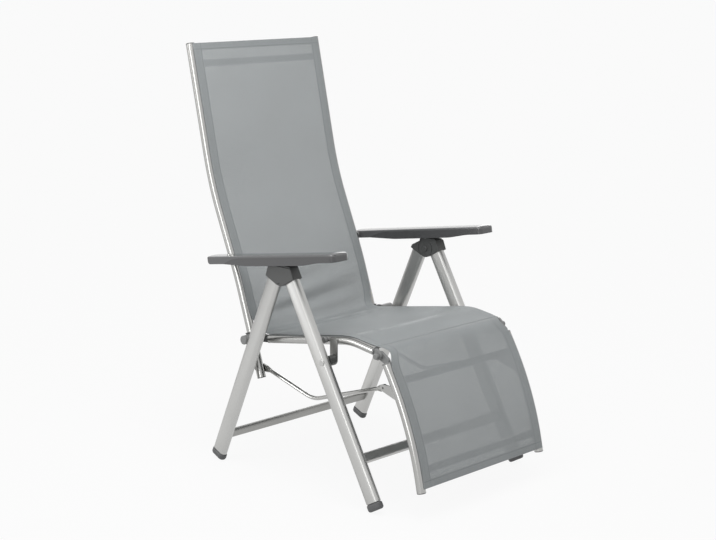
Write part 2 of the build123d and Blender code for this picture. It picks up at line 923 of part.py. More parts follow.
rest_sling_foot = at_height(rest_line, rest_end[1] + rest_sling_rise)
save(cloth_sheet([*rest_line[:2], rest_sling_foot], rest_bend), "legrest_sling")

# Link rods: a bent round rod with a flattened eye at each end
rod_x = tube_inner_x - face_gap - rod_radius
eye_from = tube_inner_x - face_gap - eye_thickness
rod_low = (rod_low_y, rod_low_z)


def rod_end(pivot, bore):
    """Flattened eye of a link rod, and the taper into its round part."""
    way = direction(pivot, rod_low)
    flat_end = shifted(pivot, way, eye_neck)
    round_end = shifted(flat_end, way, eye_taper)
    with BuildPart() as eye:
        with BuildSketch(side_plane(eye_from)):
            with Locations(pivot):
                Circle(eye_radius)
            tilt = degrees(atan2(way[1], way[0]))
            with Locations(Location((*shifted(pivot, way, eye_neck / 2), 0), tilt)):
                Rectangle(eye_neck, 2 * eye_radius)
        extrude(amount=eye_thickness)
        with BuildSketch(cross_plane(eye_from + eye_thickness / 2, flat_end, way)):
            Rectangle(eye_thickness, 2 * eye_radius)
        with BuildSketch(cross_plane(rod_x, round_end, way)):
            Circle(rod_radius)
        loft()
        with BuildSketch(side_plane(eye_from)):
            with Locations(pivot):
                Circle(bore)
        extrude(amount=eye_thickness, mode=Mode.SUBTRACT)
    return eye.part


def link_rod():
    """The rod, with its running eye on the back's lever and its open eye at the leg rest."""
    ends = []
    for pivot in (lever_pivot, rod_pivot):
        ends.append(shifted(pivot, direction(pivot, rod_low), eye_neck + eye_taper))
    rear_eye = rod_end(lever_pivot, small_bore)
    front_eye = rod_end(rod_pivot, small_bolt_radius + open_pivot_gap)
    with BuildLine(side_plane(rod_x)) as path:
        FilletPolyline(ends[0], rod_low, ends[1], radius=rod_bend)
    with BuildPart() as rod:
        with BuildSketch(Plane(origin=path.line @ 0, z_dir=path.line % 0)):
            Circle(rod_radius)
        sweep(path=path.line)
        add(rear_eye)
        add(front_eye)
    return rod.part


save_pair(link_rod(), "link_rod")
rod_rear_end = eye_from - running_gap
rod_rear_pin = domed_bolt(
    lever_pivot, tube_outer_x, rod_rear_end, small_bolt_radius, thin_head_radius, thin_head_height
)
with BuildPart() as rod_rear_bolt:
    add(rod_rear_pin)
    with BuildSketch(side_plane(rod_rear_end)):
        with Locations(lever_pivot):
            Circle(thin_head_radius)
    extrude(amount=-thin_head_height)
save_group(rod_rear_bolt.part, "rod_rear_bolts")
rod_front_bolt = domed_bolt(
    rod_pivot,
    eye_from - running_gap,
    lug_from + rod_lug_thickness,
    small_bolt_radius,
    thin_head_radius,
    thin_head_height,
)
save_group(rod_front_bolt, "rod_front_bolts")


# Armrests
arm_outer_x = arm_inner_x + arm_width
arm_middle_x = arm_inner_x + arm_width / 2
arm_floor = -arm_half_height
arm_sag = [
    (seam_start, arm_floor),
    (sag_from, arm_floor - sag_depth),
    (sag_to, arm_floor - sag_depth),
    (sag_end, arm_floor),
    (arm_front, arm_floor),
]


def arm_plane(x):
    """Side view of the armrest: its own x runs forward, its own y up, and its normal to the middle."""
    origin = (x, hub_setback + arm_pivot[0], arm_pivot[1])
    return Plane(origin=origin, x_dir=(0, *arm_way), z_dir=(-1, 0, 0))


def arm_section():
    """Plane square to the armrest at its rear end: its own x is X and its own y is up."""
    y, z = shifted(arm_pivot, arm_way, -arm_rear)
    return Plane(origin=(arm_middle_x, hub_setback + y, z), x_dir=(1, 0, 0), z_dir=(0, *arm_way))


def arm_form():
    """The whole outer form: a crowned section along the armrest, within its side outline."""
    half = arm_width / 2
    edge_top = arm_half_height - arm_crown
    low = arm_floor - sag_depth - overrun
    with BuildPart() as form:
        with BuildSketch(arm_section()) as section:
            with BuildLine():
                Polyline((-half, edge_top), (-half, low), (half, low), (half, edge_top))
                ThreePointArc((half, edge_top), (0.0, arm_half_height), (-half, edge_top))
            make_face()
            fillet(section.vertices().group_by(Axis.Y)[-1], arm_edge)
        extrude(amount=arm_front + arm_rear)
        with BuildSketch(arm_plane(arm_outer_x)) as side:
            with BuildLine():
                under = FilletPolyline(*arm_sag, radius=sag_bend)
                Polyline(
                    under @ 1,
                    (arm_front, arm_half_height + overrun),
                    (-arm_rear, arm_half_height + overrun),
                    (-arm_rear, arm_floor),
                    under @ 0,
                )
            make_face()
        extrude(amount=arm_width, mode=Mode.INTERSECT)
        ahead = form.faces().sort_by(Axis((0, 0, 0), (0, *arm_way)))[-1]
        upright = ahead.edges().filter_by(Axis((0, 0, 0), (0, *arm_up)))
        fillet(upright, arm_corner)
        behind = form.faces().sort_by(Axis((0, 0, 0), (0, *arm_way)))[0]
        fillet(behind.edges().sort_by(Axis((0, 0, 0), (0, *arm_up)))[0], arm_rear_round)
    return form.part


def arm_pocket(floor_points, margin):
    """Inner space above a floor line, inset by the wall at the sides and at the front."""
    with BuildPart() as pocket:
        with BuildSketch(arm_plane(arm_outer_x - arm_wall)):
            with BuildLine():
                floor = Polyline(*floor_points)
                Polyline(floor @ 1, (arm_front - arm_wall, margin), (floor_points[0][0], margin), floor @ 0)
            make_face()
        extrude(amount=arm_width - 2 * arm_wall)
        ahead = pocket.faces().sort_by(Axis((0, 0, 0), (0, *arm_way)))[-1]
        upright = ahead.edges().filter_by(Axis((0, 0, 0), (0, *arm_up)))
        fillet(upright, arm_corner - arm_wall)
    return pocket.part


def arm_upper_space():
    """The space above the seam, with the whole height behind the seam's start."""
    top = arm_half_height + overrun
    bottom = arm_floor - overrun
    with BuildPart() as space:
        with BuildSketch(arm_plane(arm_outer_x + overrun)):
            with BuildLine():
                seam = TangentArc((seam_level, seam_height), (seam_start, arm_floor), tangent=(-1, 0))
                Polyline(
                    seam @ 1,
                    (seam_start, bottom),
                    (-arm_rear - overrun, bottom),
                    (-arm_rear - overrun, top),
                    (arm_front + overrun, top),
                    (arm_front + overrun, seam_height),
                    seam @ 0,
                )
            make_face()
        extrude(amount=arm_width + 2 * overrun)
    return space.part


arm_whole = arm_form()
upper_space = arm_upper_space()
bush_end_x = arm_inner_x + arm_bush_grip
boss_radius = arm_bush_radius + running_gap + boss_wall
cover_ceiling = arm_half_height - arm_crown - arm_wall
cover_rear = arm_wall - arm_rear
cover_below = arm_floor - overrun
cover_pocket = arm_pocket([(cover_rear, cover_below), (arm_front - arm_wall, cover_below)], cover_ceiling)

with BuildPart() as armrest_cover:
    add(arm_whole)
    add(upper_space, mode=Mode.INTERSECT)
    add(cover_pocket, mode=Mode.SUBTRACT)
    with BuildSketch(side_plane(arm_inner_x + arm_wall)):
        with Locations(arm_pivot):
            Circle(boss_radius)
    extrude(amount=arm_bush_grip)
    with BuildSketch(side_plane(arm_inner_x)):
        with Locations(arm_pivot):
            Circle(arm_bush_radius + running_gap)
    extrude(amount=arm_bush_grip + running_gap, mode=Mode.SUBTRACT)
save_pair(armrest_cover.part, "armrest_cover")

trough_inner_x = channel_inner_x - arm_wall
trough_outer_x = channel_outer_x + arm_wall
roof = arm_floor + channel_depth
tray_floor = [
    (seam_level, arm_floor + arm_wall),
    (sag_to, arm_floor - sag_depth + arm_wall),
    (sag_end, arm_floor + arm_wall),
    (arm_front - arm_wall, arm_floor + arm_wall),
]
tray_pocket = arm_pocket(tray_floor, seam_height + overrun)


def arm_block(x_outer, x_inner, along_from, along_to, up_from, up_to):
    """A plain block in the armrest's own directions."""
    with BuildPart() as block:
        with BuildSketch(arm_plane(x_outer)):
            with Locations(((along_from + along_to) / 2, (up_from + up_to) / 2)):
                Rectangle(along_to - along_from, up_to - up_from)
        extrude(amount=x_outer - x_inner)
    return block.part


trough = arm_block(
    trough_outer_x, trough_inner_x, channel_from - arm_wall, channel_to + arm_wall, arm_floor, roof + arm_wall
)
channel = arm_block(channel_outer_x, channel_inner_x, channel_from, channel_to, arm_floor - overrun, roof)
with BuildPart() as armrest_base:
    add(arm_whole)
    add(upper_space, mode=Mode.SUBTRACT)
    add(tray_pocket, mode=Mode.SUBTRACT)
    add(trough)
    add(channel, mode=Mode.SUBTRACT)
save_pair(armrest_base.part, "armrest_base")

rack_from = pin_along - rack_margin
rack_to = pin_along + pin_travel + rack_margin
rack_outer_x = layer_x + layer_gap / 2 + rack_gap + rack_width
notch_radius = lock_pin_radius + notch_edge
notch_pitch = pin_travel / (notch_count - 1)
with BuildPart() as armrest_rack:
    with BuildSketch(arm_plane(rack_outer_x)):
        with Locations(((rack_from + rack_to) / 2, (rack_tip + roof) / 2)):
            Rectangle(rack_to - rack_from, roof - rack_tip)
        notch_height = rack_tip + notch_depth - notch_radius
        with Locations(*[(pin_along + index * notch_pitch, notch_height) for index in range(notch_count)]):
            Circle(notch_radius, mode=Mode.SUBTRACT)
    extrude(amount=rack_width)
save_pair(armrest_rack.part, "armrest_rack")

arm_bush = drum(arm_pivot, tube_outer_x + face_gap, bush_end_x, arm_bush_radius, bolt_bore)
save_group(arm_bush, "arm_pivot_bushes")
arm_bolt = domed_bolt(
    arm_pivot, tube_inner_x, bush_end_x, pivot_bolt_radius, thin_head_radius, thin_head_height
)
save_group(arm_bolt, "arm_pivot_bolts")
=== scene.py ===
# %% [markdown]
# # A reclining garden armchair, dressed for its picture
#
# The chair comes in as a finished frame: every tube, bolt and moulding is a solid that was drawn in CAD and sits in
# its place. This lesson gives those solids their finishes, and lays the stretched mesh cloth over them. Everything
# is in metres. The chair faces -Y, and +Z is up.

# %% Load the frame
import json
from bisect import bisect_right
from math import exp, pi, radians, sin, tan

import bmesh
import bpy
from mathutils import Matrix, Vector


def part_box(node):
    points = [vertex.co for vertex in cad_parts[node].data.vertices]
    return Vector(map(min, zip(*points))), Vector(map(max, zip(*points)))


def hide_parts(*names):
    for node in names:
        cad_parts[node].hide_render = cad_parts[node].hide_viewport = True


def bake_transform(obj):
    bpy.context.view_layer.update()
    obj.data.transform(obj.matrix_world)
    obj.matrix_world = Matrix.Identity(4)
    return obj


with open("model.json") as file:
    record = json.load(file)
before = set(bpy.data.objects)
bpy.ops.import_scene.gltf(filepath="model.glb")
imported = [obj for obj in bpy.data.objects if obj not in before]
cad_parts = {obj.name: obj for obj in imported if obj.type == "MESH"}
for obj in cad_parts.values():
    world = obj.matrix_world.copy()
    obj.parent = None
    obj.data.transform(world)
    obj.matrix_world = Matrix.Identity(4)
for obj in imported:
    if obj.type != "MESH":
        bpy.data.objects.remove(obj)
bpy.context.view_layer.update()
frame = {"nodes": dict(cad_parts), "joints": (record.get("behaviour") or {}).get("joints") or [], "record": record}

# %% [markdown]
# ## The camera
#
# A photograph's viewpoint can be found from the object's own lines: parallel tubes meet in a vanishing point, and a
# known width gives the distance. This one stands a little over four metres away, at chest height, ahead of the
# chair and to its right. The long lens keeps the legs nearly parallel, and the small shifts only frame the chair.
# Two helpers come first, because the lamps, the floor and the cloth need them too.

# %% Place and turn things
def put_in_scene(name, data):
    """An object of that name and data, linked to the scene."""
    made = bpy.data.objects.new(name, data)
    bpy.context.scene.collection.objects.link(made)
    return made


def facing(way):
    """The turn that points a camera or a lamp along a direction, with its top up."""
    return Vector(way).to_track_quat("-Z", "Y").to_euler()


print("a lamp that faces straight back is turned by", [round(turn, 2) for turn in facing((0.0, 1.0, 0.0))], "radians")

# %% Camera
hub = next(Vector(joint["pos_m"]) for joint in frame["joints"] if joint["name"] == "rear_fold")
aim = Vector((0.0, hub.y, 0.52365))

camera_data = bpy.data.cameras.new("camera")
camera_data.sensor_width = 36.0
camera_data.lens = 76.6
camera_data.shift_x = -0.0019
camera_data.shift_y = 0.0090
camera_data.clip_end = 400.0
camera = put_in_scene("camera", camera_data)
camera.location = Vector((-2.90261, hub.y - 2.90340, 1.38732))
camera.rotation_euler = facing(aim - camera.location)
bpy.context.scene.camera = camera
print("camera", round((aim - camera.location).length, 3), "m from the chair")

# %% [markdown]
# ## Floor and world
#
# The photograph was taken on white, so the background is white wherever the camera looks, and shiny tubes mirror it
# too. Brighter lamps would do that, but they would burn out the chair. A Light Path node adds no light: it tells the
# rays that reach the eye, directly, off a gloss or through glass, from those that light the chair, so each kind gets
# its own brightness. The floor is a wide disc that mixes a share of that white with its lit surface, which keeps the
# soft shadow under the feet.

# %% Helpers for materials
def new_material(name):
    """A material with its node tree, its Principled shader and its output."""
    made = bpy.data.materials.new(name)
    made.use_nodes = True
    tree = made.node_tree
    return made, tree, tree.nodes["Principled BSDF"], tree.nodes["Material Output"]


def feed(tree, socket, value):
    """A link where the value is another socket, and otherwise the number or colour set on the socket itself."""
    if hasattr(value, "links"):
        tree.links.new(value, socket)
    else:
        socket.default_value = value


def math_node(tree, operation, *values):
    """A Math node with its inputs given as numbers or as sockets."""
    node = tree.nodes.new("ShaderNodeMath")
    node.operation = operation
    for socket, value in zip(node.inputs, values):
        feed(tree, socket, value)
    return node.outputs[0]


def seen_by_eye(tree):
    """1 for a ray from the camera, off a gloss or through glass, and 0 for a ray that brings light."""
    path = tree.nodes.new("ShaderNodeLightPath")
    both = math_node(tree, "MAXIMUM", path.outputs["Is Camera Ray"], path.outputs["Is Glossy Ray"])
    return math_node(tree, "MAXIMUM", both, path.outputs["Is Transmission Ray"])


print("helpers", new_material.__name__, feed.__name__, math_node.__name__, seen_by_eye.__name__)

# %% Floor
floor_radius = 90.0
floor_white = 0.62
floor_share = 0.91

floor_mesh = bpy.data.meshes.new("floor")
shape = bmesh.new()
bmesh.ops.create_circle(shape, cap_ends=True, segments=96, radius=floor_radius)
shape.to_mesh(floor_mesh)
shape.free()
floor = put_in_scene("floor", floor_mesh)

floor_finish, tree, shader, out = new_material("white floor")
shader.inputs["Base Color"].default_value = (floor_white, floor_white, floor_white, 1.0)
shader.inputs["Roughness"].default_value = 0.9
shader.inputs["Specular IOR Level"].default_value = 0.0
glow = tree.nodes.new("ShaderNodeEmission")
mix = tree.nodes.new("ShaderNodeMixShader")
tree.links.new(math_node(tree, "MULTIPLY", seen_by_eye(tree), floor_share), mix.inputs[0])
tree.links.new(shader.outputs[0], mix.inputs[1])
tree.links.new(glow.outputs[0], mix.inputs[2])
tree.links.new(mix.outputs[0], out.inputs["Surface"])
floor_mesh.materials.append(floor_finish)
print("floor", 2 * floor_radius, "m across")

# %% World
sky_light = 0.60
seen_white = 0.96

world = bpy.data.worlds.new("studio")
bpy.context.scene.world = world
world.use_nodes = True
tree = world.node_tree
background = tree.nodes["Background"]
background.inputs["Color"].default_value = (1.0, 1.0, 1.0, 1.0)
strength = math_node(tree, "MULTIPLY_ADD", seen_by_eye(tree), seen_white - sky_light, sky_light)
tree.links.new(strength, background.inputs["Strength"])
bpy.context.scene.view_settings.view_transform = "Standard"
print("sky gives", sky_light, "and is seen as", seen_white)

# %% [markdown]
# ## Lamps
#
# Polished tubes show bright lines along them, because long lamps stand beside the chair. Area lamps could do that,
# but they light the near side more than the far one. A sun lamp with a wide angle lights everything alike and still
# has soft shadows, so one comes from above and three low ones draw the lines. A nearer disk over the seat stands in
# for the large softbox: it leaves the cloth brightest there, and darkest where the leg rest turns under.

# %% Broad lamps
def broad_lamp(name, energy, spread, way):
    """A lamp so far off that it lights everything alike, with a soft edge to its shadows."""
    data = bpy.data.lights.new(name, "SUN")
    data.energy = energy
    data.angle = radians(spread)
    put_in_scene(name, data).rotation_euler = facing(way)
    print(name, energy, "W per square metre")


broad_lamp("high lamp", 0.45, 28.0, (0.10, 0.30, -1.0))
broad_lamp("front left lamp", 0.40, 20.0, (0.93, 0.33, -0.18))
broad_lamp("rear left lamp", 0.55, 14.0, (0.82, -0.57, -0.16))
broad_lamp("rear right lamp", 0.30, 20.0, (-0.80, -0.55, -0.30))

# %% Near lamp
seat_back_corner = Vector((0.0, 0.1, 0.7))

near_data = bpy.data.lights.new("near lamp", "AREA")
near_data.energy = 14.5
near_data.shape = "DISK"
near_data.size = 1.4
near_lamp = put_in_scene("near lamp", near_data)
near_lamp.location = (-0.6, -0.2, 1.95)
near_lamp.rotation_euler = facing(seat_back_corner - near_lamp.location)
near_lamp.visible_camera = False
print("near lamp", near_data.energy, "W, a disk", round(near_data.size, 3), "m across")

# %% [markdown]
# ## Shared surface effects
#
# Each effect that the finishes share is a node group. It is built once, with named inputs and outputs, and every
# material places it with values of its own. The groups put out only heights, masks, roughness and colours. The
# shader itself stays in the material, where the export can read it.

# %% Group builder
def new_group(name, inputs, outputs):
    """A shader node group with named sockets, what it is given, and what it puts out."""
    group = bpy.data.node_groups.new(name, "ShaderNodeTree")
    for label, kind, value in inputs:
        made = group.interface.new_socket(name=label, in_out="INPUT", socket_type=kind)
        if value is not None:
            made.default_value = value
    for label, kind in outputs:
        group.interface.new_socket(name=label, in_out="OUTPUT", socket_type=kind)
    print("group", name, "puts out", ", ".join(label.lower() for label, _ in outputs))
    return group, group.nodes.new("NodeGroupInput").outputs, group.nodes.new("NodeGroupOutput").inputs


def add_group(tree, group, **values):
    """The group placed in a material, with its own values. An underscore stands for a space in a socket's name."""
    node = tree.nodes.new("ShaderNodeGroup")
    node.node_tree = group
    for label, value in values.items():
        feed(tree, node.inputs[label.replace("_", " ")], value)
    return node.outputs


FLOAT, VECTOR, COLOUR = "NodeSocketFloat", "NodeSocketVector", "NodeSocketColor"
print("kinds of socket", FLOAT, VECTOR, COLOUR)

# %% Nodes that the groups are made of
def noise_node(tree, vector, scale, detail):
    """A noise value over the given coordinates."""
    node = tree.nodes.new("ShaderNodeTexNoise")
    tree.links.new(vector, node.inputs["Vector"])
    feed(tree, node.inputs["Scale"], scale)
    node.inputs["Detail"].default_value = detail
    return node.outputs["Fac"]


def ranged(tree, value, low, high, to_low, to_high, smooth=True):
    """The value carried from one range to another, with soft ends unless smooth is off."""
    node = tree.nodes.new("ShaderNodeMapRange")
    node.interpolation_type = "SMOOTHSTEP" if smooth else "LINEAR"
    for socket, given in zip(node.inputs, (value, low, high, to_low, to_high)):
        feed(tree, socket, given)
    return node.outputs[0]


def blended(tree, factor, first, second, blend_type="MIX"):
    """A colour between two others, or with MULTIPLY the first one stained by the second."""
    node = tree.nodes.new("ShaderNodeMix")
    node.data_type = "RGBA"
    node.blend_type = blend_type
    for label, value in (("Factor", factor), ("A", first), ("B", second)):
        feed(tree, node.inputs[label], value)
    return node.outputs["Result"]


def parts_of(tree, vector):
    """The X, Y and Z of a vector."""
    node = tree.nodes.new("ShaderNodeSeparateXYZ")
    tree.links.new(vector, node.inputs[0])
    return node.outputs


print("nodes", noise_node.__name__, ranged.__name__, blended.__name__, parts_of.__name__)

# %% [markdown]
# ## Grain and handling
#
# Satin metal has a fine tooth that is drawn out along the tube, and moulded plastic has a fine leathery skin. Both
# are one noise over the object's own coordinates, stretched or not. Handling is what hands and weather leave: soft
# patches that are a little more or less glossy, faint smudges, and soil near the ground. It is kept apart from the
# grain because it is a hundred times larger, and because it changes colour and gloss but not the surface.

# %% Grain group
grain_detail = 3.0

grain, given, result = new_group(
    "grain", [("Place", VECTOR, None), ("Scale", FLOAT, 900.0), ("Stretch", VECTOR, None)], [("Height", FLOAT)])
stretched = grain.nodes.new("ShaderNodeVectorMath")
stretched.operation = "MULTIPLY"
grain.links.new(given["Place"], stretched.inputs[0])
grain.links.new(given["Stretch"], stretched.inputs[1])
grain.links.new(noise_node(grain, stretched.outputs[0], given["Scale"], grain_detail), result["Height"])

# %% Handling group
patch_scale, patch_detail = 9.0, 4.0
smudge_scale, smudge_detail = 4.0, 5.0
soil_height = 0.09
grime = (0.42, 0.40, 0.37, 1.0)

handling, given, result = new_group(
    "handling",
    [("Place", VECTOR, None), ("Low Roughness", FLOAT, 0.3), ("High Roughness", FLOAT, 0.4),
     ("Colour", COLOUR, None), ("Darkening", FLOAT, 0.06)],
    [("Roughness", FLOAT), ("Colour", COLOUR)])
patches = noise_node(handling, given["Place"], patch_scale, patch_detail)
gloss = ranged(handling, patches, 0.3, 0.7, given["Low Roughness"], given["High Roughness"])
handling.links.new(gloss, result["Roughness"])

smudges = noise_node(handling, given["Place"], smudge_scale, smudge_detail)
dust = ranged(handling, smudges, 0.42, 0.72, 0.0, given["Darkening"])
above_floor = parts_of(handling, given["Place"])["Z"]
soil = ranged(handling, above_floor, 0.0, soil_height, given["Darkening"], 0.0)
dirt = math_node(handling, "ADD", dust, soil)
handling.links.new(blended(handling, dirt, given["Colour"], grime, "MULTIPLY"), result["Colour"])
print("soil reaches", soil_height, "m up")

# %% [markdown]
# ## Weave
#
# The cloth is a plain weave of flat threads, a bit over a millimetre apart, that go over and under each other with
# small square holes between them. Modelled threads would need millions of faces, so the pattern is worked out from
# the cloth's own coordinates, which are metres across and along the cut. So it keeps its size, and follows the cloth
# round every bend. Halfway between two threads both ways there is a hole, and where the two counts add up to an odd
# number the weft lies on top.

# %% Weave group
thread_edge = 0.05


def off_centre(tree, turns):
    """0 along the middle of a thread, and 1 halfway between two threads."""
    part_turn = math_node(tree, "FRACT", turns)
    return math_node(tree, "MULTIPLY", math_node(tree, "ABSOLUTE", math_node(tree, "SUBTRACT", part_turn, 0.5)), 2.0)


def thread_top(tree, beside):
    """The round top of a thread: 1 along its middle, and 0 halfway to the next."""
    return math_node(tree, "SUBTRACT", 1.0, math_node(tree, "MULTIPLY", beside, beside))


weave, given, result = new_group(
    "weave",
    [("Thread", VECTOR, None), ("Pitch Across", FLOAT, 0.0013), ("Pitch Along", FLOAT, 0.0011),
     ("Open Share", FLOAT, 0.40)],
    [("Height", FLOAT), ("Cover", FLOAT), ("Shade", FLOAT)])
cut = parts_of(weave, given["Thread"])
across = math_node(weave, "DIVIDE", cut["X"], given["Pitch Across"])
along = math_node(weave, "DIVIDE", cut["Y"], given["Pitch Along"])
beside_warp = off_centre(weave, across)
beside_weft = off_centre(weave, along)

gap = math_node(weave, "MINIMUM", beside_warp, beside_weft)
hole = math_node(weave, "SUBTRACT", 1.0, given["Open Share"])
hole_low = math_node(weave, "SUBTRACT", hole, thread_edge)
hole_high = math_node(weave, "ADD", hole, thread_edge)
weave.links.new(ranged(weave, gap, hole_low, hole_high, 1.0, 0.0), result["Cover"])

count = math_node(weave, "ADD", math_node(weave, "FLOOR", across), math_node(weave, "FLOOR", along))
weft_over = math_node(weave, "PINGPONG", count, 1.0)
height = weave.nodes.new("ShaderNodeMix")
weave.links.new(weft_over, height.inputs["Factor"])
weave.links.new(thread_top(weave, beside_warp), height.inputs["A"])
weave.links.new(thread_top(weave, beside_weft), height.inputs["B"])
weave.links.new(height.outputs["Result"], result["Height"])
weave.links.new(math_node(weave, "MULTIPLY", weft_over, height.outputs["Result"]), result["Shade"])
print("each thread's edge is soft over", 2 * thread_edge, "of half its pitch")

# %% [markdown]
# ## Stitches
#
# The hems are held down by a lockstitch, which shows as a row of short dashes of darker thread. Each seam is a
# straight line on the flat cut: one near each side, one near the top and one near the foot. So the same coordinates
# as the weave's say how far a point is from a seam, and how far along it.

# %% Stitch group
thread_core, thread_rim = 0.0004, 0.0008
dash_full, dash_end = 0.32, 0.42


def stitched_line(tree, place, line_at, run, pitch):
    """1 on the dashes of a seam that lies where place equals line_at, and 0 elsewhere."""
    off_line = math_node(tree, "ABSOLUTE", math_node(tree, "SUBTRACT", place, line_at))
    part_stitch = math_node(tree, "FRACT", math_node(tree, "DIVIDE", run, pitch))
    off_middle = math_node(tree, "ABSOLUTE", math_node(tree, "SUBTRACT", part_stitch, 0.5))
    on_line = ranged(tree, off_line, thread_core, thread_rim, 1.0, 0.0)
    return math_node(tree, "MULTIPLY", on_line, ranged(tree, off_middle, dash_full, dash_end, 1.0, 0.0))


stitches, given, result = new_group(
    "stitches",
    [("Thread", VECTOR, None), ("Side", FLOAT, 0.2), ("Top", FLOAT, 0.017), ("Bottom", FLOAT, 1.6),
     ("Pitch", FLOAT, 0.0045)],
    [("Mask", FLOAT)])
cut = parts_of(stitches, given["Thread"])
from_centre = math_node(stitches, "ABSOLUTE", cut["X"])
sides = stitched_line(stitches, from_centre, given["Side"], cut["Y"], given["Pitch"])
top_seam = stitched_line(stitches, cut["Y"], given["Top"], cut["X"], given["Pitch"])
low_seam = stitched_line(stitches, cut["Y"], given["Bottom"], cut["X"], given["Pitch"])
ends = math_node(stitches, "MAXIMUM", top_seam, low_seam)
stitches.links.new(math_node(stitches, "MAXIMUM", sides, ends), result["Mask"])
print("stitching thread", 2 * thread_core, "m thick")

# %% [markdown]
# ## Metal finishes
#
# The legs are thick anodised tube: fine grained, satin, and a touch lighter than the polished round tubes of seat
# and back. Bolts and brackets are zinc plated steel. The rear crossbar is the legs' metal painted darker and a little
# rougher: its darker colour is painted shade. All are metallic, so their look comes from roughness and from what they
# mirror. The legs' faces aren't quite flat on the real chair. Their solids are, so a second, wide bump bends what
# they mirror, the more the further a point is from the leg's middle line. It changes the reflection alone, because
# the outline wouldn't show it.

# %% What metal and plastic share
def worn_surface(tree, shader, colour, rough, darkening):
    """Colour and roughness through the handling group, and the coordinates that it reads."""
    place = tree.nodes.new("ShaderNodeTexCoord").outputs["Object"]
    worn = add_group(tree, handling, Place=place, Low_Roughness=rough[0], High_Roughness=rough[1],
                     Colour=(*colour, 1.0), Darkening=darkening)
    tree.links.new(worn["Colour"], shader.inputs["Base Color"])
    tree.links.new(worn["Roughness"], shader.inputs["Roughness"])
    return place


def bumped(tree, height, strength, depth, under=None):
    """A normal that tilts with a height, on top of another normal if there is one."""
    node = tree.nodes.new("ShaderNodeBump")
    node.inputs["Strength"].default_value = strength
    node.inputs["Distance"].default_value = depth
    tree.links.new(height, node.inputs["Height"])
    if under is not None:
        tree.links.new(under, node.inputs["Normal"])
    return node.outputs["Normal"]


print("shared", worn_surface.__name__, bumped.__name__)

# %% The crown of a leg
crown_curve = 5.5
foot_inset = 0.020


def leg_line(leg, feet):
    """The middle line of a leg, from the hub to the middle of its foot."""
    leg_low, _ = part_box(leg)
    feet_low, feet_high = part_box(feet)
    end_y = feet_low.y + foot_inset if leg.startswith("front") else feet_high.y - foot_inset
    return hub, Vector((0.0, end_y, leg_low.z + foot_inset))


def crowned(tree, place, middle):
    """The normal of a face that falls away by a parabola on both sides of a leg's middle line."""
    top, foot = middle
    way = (foot - top).normalized()
    square_to_leg = Vector((0.0, way.z, -way.y))
    reach = tree.nodes.new("ShaderNodeVectorMath")
    reach.operation = "DOT_PRODUCT"
    tree.links.new(place, reach.inputs[0])
    reach.inputs[1].default_value = square_to_leg
    off_middle = math_node(tree, "SUBTRACT", reach.outputs["Value"], square_to_leg.dot(top))
    drop = math_node(tree, "MULTIPLY", math_node(tree, "MULTIPLY", off_middle, off_middle), -crown_curve)
    return bumped(tree, drop, 1.0, 1.0)


front_leg_line = leg_line("front_leg_left", "front_feet")
rear_leg_line = leg_line("rear_leg_left", "rear_feet")
print("legs", [round((foot - top).length, 3) for top, foot in (front_leg_line, rear_leg_line)], "m from hub to foot")

# %% Metals
metal_tooth = 0.0004
leg_colour = (0.49, 0.49, 0.48)
leg_rough = (0.34, 0.40)


def metal(name, colour, rough, darkening=0.10, tooth=0.04, scale=1400.0, stretch=(1.0, 1.0, 0.25), middle=None):
    """A satin metal with fine grain and soft handling marks, crowned about a leg's middle line if it is given."""
    made, tree, shader, _ = new_material(name)
    place = worn_surface(tree, shader, colour, rough, darkening)
    shader.inputs["Metallic"].default_value = 1.0
    under = crowned(tree, place, middle) if middle else None
    height = add_group(tree, grain, Place=place, Scale=scale, Stretch=stretch)["Height"]
    tree.links.new(bumped(tree, height, tooth, metal_tooth, under), shader.inputs["Normal"])
    return made


front_leg_finish = metal("anodised front leg", leg_colour, leg_rough, middle=front_leg_line)
rear_leg_finish = metal("anodised rear leg", leg_colour, leg_rough, middle=rear_leg_line)
# The rear crossbar's darker colour is painted shade.
shaded_crossbar_finish = metal("crossbar in painted shade", (0.33, 0.33, 0.32), (0.36, 0.44))
finishes = {
    "leg_silver": metal("anodised crossbar", leg_colour, leg_rough),
    "tube_silver": metal("satin frame tube", (0.43, 0.43, 0.42), (0.20, 0.26)),
    "steel": metal("zinc plated steel", (0.40, 0.40, 0.39), (0.28, 0.44), 0.16, 0.14, 900.0, (1.0, 1.0, 1.0)),
}
print("metals", sorted(finishes))

# %% [markdown]
# ## Plastic finishes
#
# The hubs, sockets, feet and knobs are dark glass-filled nylon with a fine moulded texture. The armrests are a
# smoother grey moulding with a satin sheen: their tops mirror the white room, and their sides look much darker. A
# clear coat over a nearly black base does that at every angle, where a plain grey would be right at one angle only.
# The cover on top is also painted lighter than the moulding under it, as painted light on the armrest tops.

# %% Plastics
plastic_tooth = 0.0003
coat_rough = 0.12


def plastic(name, colour, rough, tooth, scale, darkening=0.10, coat=0.0):
    """A moulded plastic with a fine leathery skin, and a clear sheen over it if coat is above 0."""
    made, tree, shader, _ = new_material(name)
    place = worn_surface(tree, shader, colour, rough, darkening)
    shader.inputs["Coat Weight"].default_value = coat
    shader.inputs["Coat Roughness"].default_value = coat_rough
    height = add_group(tree, grain, Place=place, Scale=scale, Stretch=(1.0, 1.0, 1.0))["Height"]
    tree.links.new(bumped(tree, height, tooth, plastic_tooth), shader.inputs["Normal"])
    return made


